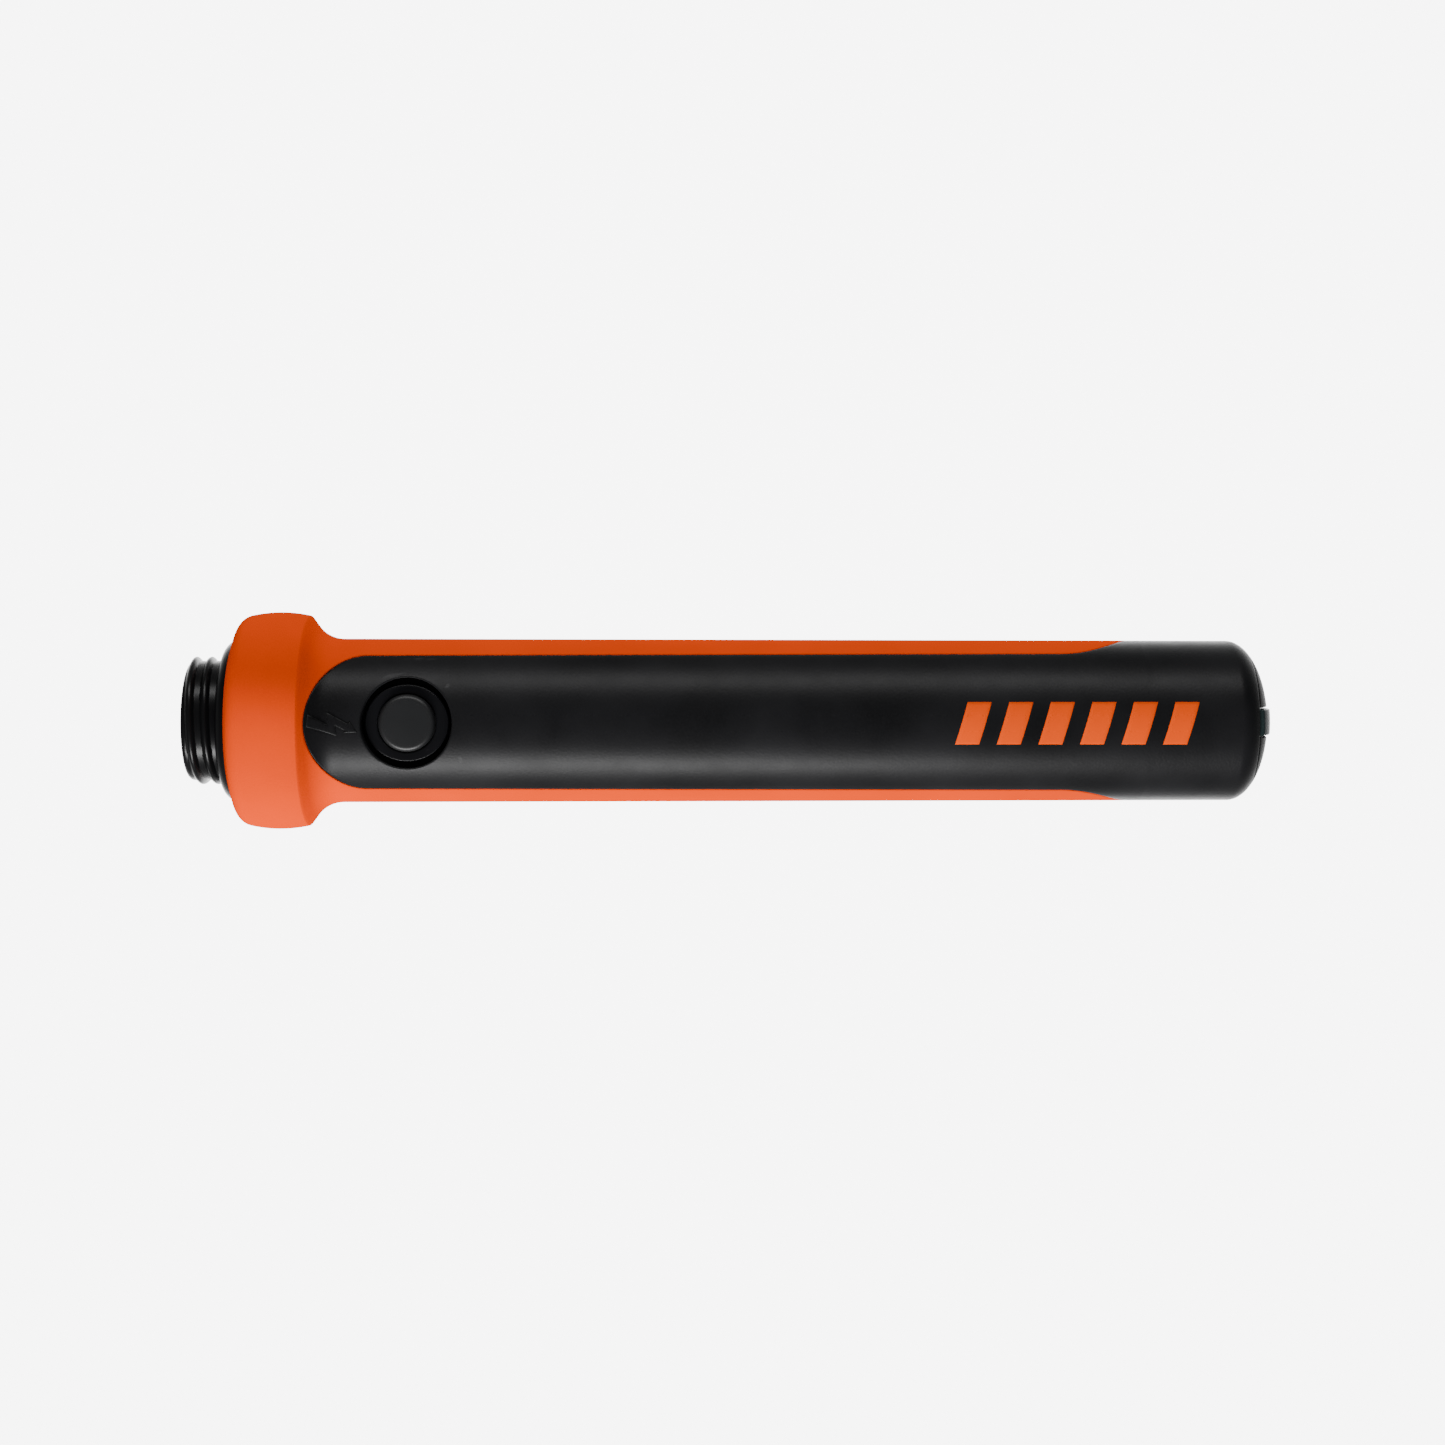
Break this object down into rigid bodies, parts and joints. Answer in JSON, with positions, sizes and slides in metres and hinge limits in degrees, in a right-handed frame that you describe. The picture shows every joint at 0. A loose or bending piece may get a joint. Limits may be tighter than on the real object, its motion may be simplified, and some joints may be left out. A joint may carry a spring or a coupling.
{
  "type": "pinpointer metal detector probe",
  "caption": "Round handheld pinpointer probe with an orange grip sleeve and collar, a black front panel with a push button, a screw neck at one end and a domed search tip at the other.",
  "frame": {"origin": "on the body's axis, in the plane where the neck meets the shoulder", "axes": "+X along the body's axis from the neck towards the search tip, +Z out through the button, +Y to the side"},
  "size_m": [0.2106, 0.0424, 0.0424],
  "materials": {
    "black_shell": "fine spark texture",
    "nose_plastic": "fine spark texture",
    "orange_grip": "satin",
    "neck_plastic": "semi-gloss",
    "seal_rubber": "matt",
    "bar_plastic": "satin",
    "led_clear": "clear",
    "orange_marks": "satin",
    "bezel_plastic": "satin",
    "cap_plastic": "fine matt",
    "switch_plastic": "moulded",
    "plunger_plastic": "moulded",
    "tray_plastic": "moulded",
    "board_green": "solder mask",
    "screw_steel": "zinc plated",
    "chip_plastic": "moulded epoxy",
    "cell_wrap": "shrink wrap",
    "contact_brass": "plated",
    "motor_steel": "drawn",
    "weight_metal": "sintered",
    "port_steel": "drawn",
    "ferrite": "ground ceramic",
    "former_plastic": "moulded",
    "coil_copper": "enamelled wire",
    "wire_jacket": "extruded"
  },
  "bodies": {
    "probe": {"core_housing": "black_shell", "nose_cap": "nose_plastic", "grip_sleeve": "orange_grip", "threaded_neck": "neck_plastic", "neck_seal_ring": "seal_rubber", "nose_seal_ring": "seal_rubber", "stem_seal_ring": "seal_rubber", "nose_bar": "bar_plastic", "nose_led": "led_clear", "panel_marks": "orange_marks", "button_bezel": "bezel_plastic", "switch_body": "switch_plastic", "chassis_tray": "tray_plastic", "main_board": "board_green", "end_board": "board_green", "board_screws": "screw_steel", "board_chips": "chip_plastic", "buzzer": "chip_plastic", "battery_cell": "cell_wrap", "battery_contacts": "contact_brass", "motor_can": "motor_steel", "charge_port_shell": "port_steel", "charge_port_tongue": "chip_plastic", "ferrite_core": "ferrite", "coil_former": "former_plastic", "transmit_winding": "coil_copper", "receive_windings": "coil_copper", "wire_leads": "wire_jacket"},
    "button": {"button_cap": "cap_plastic"},
    "switch_stem": {"switch_plunger": "plunger_plastic"},
    "motor_rotor": {"motor_shaft": "motor_steel", "eccentric_weight": "weight_metal"}
  },
  "joints": [
    {"name": "button_press", "type": "slide", "parent": "probe", "child": "button", "axis": [0, 0, -1], "range_m": [0, 0.0008], "stiffness_N_per_m": 2500, "springref_m": -0.0002},
    {"name": "switch_press", "type": "slide", "parent": "probe", "child": "switch_stem", "axis": [0, 0, -1], "range_m": [0, 0.0008]},
    {"name": "motor_spin", "type": "hinge", "parent": "probe", "child": "motor_rotor", "pos_m": [0.13, 0, -0.006], "axis": [1, 0, 0], "continuous": true}
  ],
  "couplings": [
    {"joint": "switch_press", "follows": "button_press", "ratio": 1}
  ]
}
